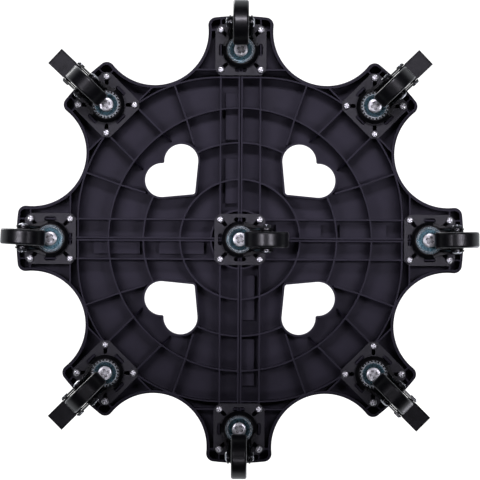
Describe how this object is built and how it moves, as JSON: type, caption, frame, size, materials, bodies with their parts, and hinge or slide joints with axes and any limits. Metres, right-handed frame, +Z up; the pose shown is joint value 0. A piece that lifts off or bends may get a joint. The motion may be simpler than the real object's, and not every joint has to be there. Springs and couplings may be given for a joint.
{
  "type": "furniture dolly",
  "caption": "Scalloped round ribbed plastic dolly deck with heart-shaped hand holes on swivel casters, some braked",
  "frame": {"origin": "on the floor under the centre of the deck, with every wheel standing on it", "axes": "+Z up through the centre caster, +X out through caster 1, +Y out through caster 3"},
  "size_m": [0.5406, 0.5402, 0.0948],
  "materials": {
    "deck_plastic": "moulded satin black plastic",
    "plate_steel": "grained satin black coating",
    "fork_steel": "satin black coating",
    "pedal_steel": "satin black coating",
    "axle_steel": "zinc plated",
    "screw_steel": "zinc plated",
    "kingpin_steel": "zinc plated",
    "zinc_plate": "blue zinc plated",
    "ball_steel": "polished",
    "tyre": "smooth black",
    "wheel_plastic": "satin"
  },
  "bodies": {
    "deck": {"deck_quarter_1": "deck_plastic", "deck_quarter_2": "deck_plastic", "deck_quarter_3": "deck_plastic", "deck_quarter_4": "deck_plastic", "mounting_plate_1": "plate_steel", "mounting_plate_2": "plate_steel", "mounting_plate_3": "plate_steel", "mounting_plate_4": "plate_steel", "mounting_plate_5": "plate_steel", "mounting_plate_6": "plate_steel", "mounting_plate_7": "plate_steel", "mounting_plate_8": "plate_steel", "mounting_plate_centre": "plate_steel", "deck_screws": "screw_steel", "kingpins": "kingpin_steel", "swivel_washers": "zinc_plate", "swivel_lock_rings": "zinc_plate", "bearing_balls": "ball_steel"},
    "swivel_1": {"fork_1": "fork_steel", "axle_set_1": "axle_steel"},
    "wheel_1": {"tyre_1": "tyre", "wheel_core_1": "wheel_plastic"},
    "swivel_2": {"fork_2": "fork_steel", "axle_set_2": "axle_steel"},
    "wheel_2": {"tyre_2": "tyre", "wheel_core_2": "wheel_plastic"},
    "pedal_2": {"brake_pedal_2": "pedal_steel"},
    "swivel_3": {"fork_3": "fork_steel", "axle_set_3": "axle_steel"},
    "wheel_3": {"tyre_3": "tyre", "wheel_core_3": "wheel_plastic"},
    "swivel_4": {"fork_4": "fork_steel", "axle_set_4": "axle_steel"},
    "wheel_4": {"tyre_4": "tyre", "wheel_core_4": "wheel_plastic"},
    "pedal_4": {"brake_pedal_4": "pedal_steel"},
    "swivel_5": {"fork_5": "fork_steel", "axle_set_5": "axle_steel"},
    "wheel_5": {"tyre_5": "tyre", "wheel_core_5": "wheel_plastic"},
    "swivel_6": {"fork_6": "fork_steel", "axle_set_6": "axle_steel"},
    "wheel_6": {"tyre_6": "tyre", "wheel_core_6": "wheel_plastic"},
    "pedal_6": {"brake_pedal_6": "pedal_steel"},
    "swivel_7": {"fork_7": "fork_steel", "axle_set_7": "axle_steel"},
    "wheel_7": {"tyre_7": "tyre", "wheel_core_7": "wheel_plastic"},
    "swivel_8": {"fork_8": "fork_steel", "axle_set_8": "axle_steel"},
    "wheel_8": {"tyre_8": "tyre", "wheel_core_8": "wheel_plastic"},
    "pedal_8": {"brake_pedal_8": "pedal_steel"},
    "swivel_centre": {"fork_centre": "fork_steel", "axle_set_centre": "axle_steel"},
    "wheel_centre": {"tyre_centre": "tyre", "wheel_core_centre": "wheel_plastic"}
  },
  "joints": [
    {"name": "swivel_turn_1", "type": "hinge", "parent": "deck", "child": "swivel_1", "pos_m": [0.2147, 0, 0.056], "axis": [0, 0, 1], "continuous": true},
    {"name": "wheel_roll_1", "type": "hinge", "parent": "swivel_1", "child": "wheel_1", "pos_m": [0.2447, -0.00052, 0.0254], "axis": [0.0175, 0.9998, 0], "continuous": true},
    {"name": "swivel_turn_2", "type": "hinge", "parent": "deck", "child": "swivel_2", "pos_m": [0.15182, 0.15182, 0.056], "axis": [0, 0, 1], "continuous": true},
    {"name": "wheel_roll_2", "type": "hinge", "parent": "swivel_2", "child": "wheel_2", "pos_m": [0.17303, 0.17303, 0.0254], "axis": [-0.7071, 0.7071, 0], "continuous": true},
    {"name": "brake_press_2", "type": "hinge", "parent": "swivel_2", "child": "pedal_2", "pos_m": [0.18788, 0.18788, 0.0511], "axis": [-0.7071, 0.7071, 0], "range_deg": [0, 17]},
    {"name": "swivel_turn_3", "type": "hinge", "parent": "deck", "child": "swivel_3", "pos_m": [0, 0.2147, 0.056], "axis": [0, 0, 1], "continuous": true},
    {"name": "wheel_roll_3", "type": "hinge", "parent": "swivel_3", "child": "wheel_3", "pos_m": [0, 0.2447, 0.0254], "axis": [-1, 0, 0], "continuous": true},
    {"name": "swivel_turn_4", "type": "hinge", "parent": "deck", "child": "swivel_4", "pos_m": [-0.15182, 0.15182, 0.056], "axis": [0, 0, 1], "continuous": true},
    {"name": "wheel_roll_4", "type": "hinge", "parent": "swivel_4", "child": "wheel_4", "pos_m": [-0.17303, 0.17303, 0.0254], "axis": [-0.7071, -0.7071, 0], "continuous": true},
    {"name": "brake_press_4", "type": "hinge", "parent": "swivel_4", "child": "pedal_4", "pos_m": [-0.18788, 0.18788, 0.0511], "axis": [-0.7071, -0.7071, 0], "range_deg": [0, 17]},
    {"name": "swivel_turn_5", "type": "hinge", "parent": "deck", "child": "swivel_5", "pos_m": [-0.2147, 0, 0.056], "axis": [0, 0, 1], "continuous": true},
    {"name": "wheel_roll_5", "type": "hinge", "parent": "swivel_5", "child": "wheel_5", "pos_m": [-0.24466, -0.00157, 0.0254], "axis": [0.0523, -0.9986, 0], "continuous": true},
    {"name": "swivel_turn_6", "type": "hinge", "parent": "deck", "child": "swivel_6", "pos_m": [-0.15182, -0.15182, 0.056], "axis": [0, 0, 1], "continuous": true},
    {"name": "wheel_roll_6", "type": "hinge", "parent": "swivel_6", "child": "wheel_6", "pos_m": [-0.17372, -0.17231, 0.0254], "axis": [0.6833, -0.7302, 0], "continuous": true},
    {"name": "brake_press_6", "type": "hinge", "parent": "swivel_6", "child": "pedal_6", "pos_m": [-0.18905, -0.18666, 0.0511], "axis": [0.6833, -0.7302, 0], "range_deg": [0, 17]},
    {"name": "swivel_turn_7", "type": "hinge", "parent": "deck", "child": "swivel_7", "pos_m": [0, -0.2147, 0.056], "axis": [0, 0, 1], "continuous": true},
    {"name": "wheel_roll_7", "type": "hinge", "parent": "swivel_7", "child": "wheel_7", "pos_m": [0, -0.2447, 0.0254], "axis": [1, 0, 0], "continuous": true},
    {"name": "swivel_turn_8", "type": "hinge", "parent": "deck", "child": "swivel_8", "pos_m": [0.15182, -0.15182, 0.056], "axis": [0, 0, 1], "continuous": true},
    {"name": "wheel_roll_8", "type": "hinge", "parent": "swivel_8", "child": "wheel_8", "pos_m": [0.17343, -0.17262, 0.0254], "axis": [0.6934, 0.7206, 0], "continuous": true},
    {"name": "brake_press_8", "type": "hinge", "parent": "swivel_8", "child": "pedal_8", "pos_m": [0.18856, -0.18718, 0.0511], "axis": [0.6934, 0.7206, 0], "range_deg": [0, 17]},
    {"name": "swivel_turn_centre", "type": "hinge", "parent": "deck", "child": "swivel_centre", "pos_m": [0, 0, 0.056], "axis": [0, 0, 1], "continuous": true},
    {"name": "wheel_roll_centre", "type": "hinge", "parent": "swivel_centre", "child": "wheel_centre", "pos_m": [0.03, 0, 0.0254], "axis": [0, 1, 0], "continuous": true}
  ]
}
